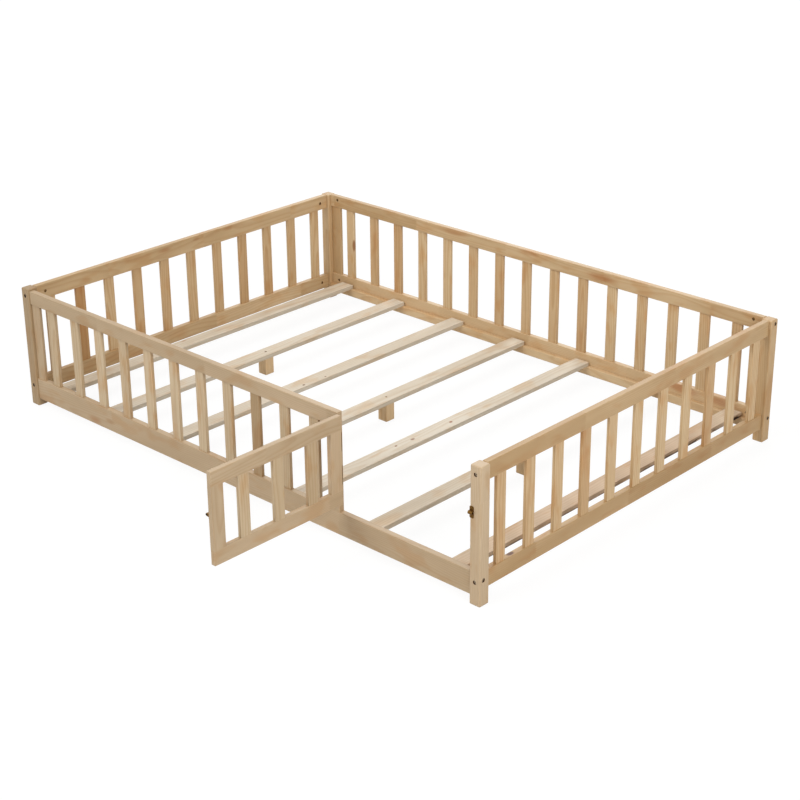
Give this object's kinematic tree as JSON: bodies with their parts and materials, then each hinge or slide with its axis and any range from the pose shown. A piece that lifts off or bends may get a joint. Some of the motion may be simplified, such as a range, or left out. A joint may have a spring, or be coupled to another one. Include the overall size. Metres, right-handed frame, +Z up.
{
  "type": "toddler floor bed",
  "caption": "Low slatted wooden floor bed for a toddler, with barred sides and a small swinging door in the front fence that a sliding bolt shuts.",
  "frame": {"origin": "on the floor, at the middle of the foot of the centre leg under the middle slat; the middle of the bed's footprint is 21 mm further along +X", "axes": "+X along the bed towards the doorway's end, +Y from the front with the door towards the back, +Z up"},
  "size_m": [2.01, 1.9108, 0.42],
  "materials": {
    "frame_pine": "clear satin lacquer on finger-jointed pine",
    "slat_pine": "planed raw pine",
    "zinc_steel": "zinc plated, dull",
    "brass_plate": "brass plated, dull"
  },
  "bodies": {
    "bed": {"back_bars": "frame_pine", "back_low_rail": "frame_pine", "back_stile_left": "frame_pine", "back_stile_right": "frame_pine", "back_top_rail": "frame_pine", "bolts_end_rails": "zinc_steel", "bolts_long_rails": "zinc_steel", "end_left_bars": "frame_pine", "end_left_low_rail": "frame_pine", "end_left_top_rail": "frame_pine", "end_right_bars": "frame_pine", "end_right_low_rail": "frame_pine", "end_right_top_rail": "frame_pine", "fence_bars": "frame_pine", "fence_stile_door": "frame_pine", "fence_stile_left": "frame_pine", "fence_top_rail": "frame_pine", "front_low_rail": "frame_pine", "hinge_frame_leaves": "brass_plate", "hinge_frame_screws": "brass_plate", "hinge_pins": "brass_plate", "keeper_screws": "brass_plate", "latch_keeper": "brass_plate", "ledger_back": "frame_pine", "ledger_front": "frame_pine", "leg_left": "frame_pine", "leg_middle": "frame_pine", "leg_right": "frame_pine", "leg_screws": "zinc_steel", "nuts_end_rails": "zinc_steel", "nuts_long_rails": "zinc_steel", "post_back_left": "frame_pine", "post_back_right": "frame_pine", "post_front_left": "frame_pine", "post_front_right": "frame_pine", "slat_1": "slat_pine", "slat_2": "slat_pine", "slat_3": "slat_pine", "slat_4": "slat_pine", "slat_5": "slat_pine", "slat_6": "slat_pine", "slat_7": "slat_pine", "slat_screws": "zinc_steel"},
    "door": {"door_bars": "frame_pine", "door_free_stile": "frame_pine", "door_hinge_stile": "frame_pine", "door_low_rail": "frame_pine", "door_top_rail": "frame_pine", "hinge_door_leaves": "brass_plate", "hinge_door_screws": "brass_plate", "latch_plate": "brass_plate", "latch_screws": "brass_plate"},
    "latch_bolt": {"latch_rod": "brass_plate"}
  },
  "joints": [
    {"name": "door_swing", "type": "hinge", "parent": "bed", "child": "door", "pos_m": [0.4938, -0.714, 0.2725], "axis": [0, 0, 1], "range_deg": [-80, 90]},
    {"name": "bolt_slide", "type": "slide", "parent": "door", "child": "latch_bolt", "axis": [0, -1, 0], "range_m": [0, 0.024]}
  ]
}
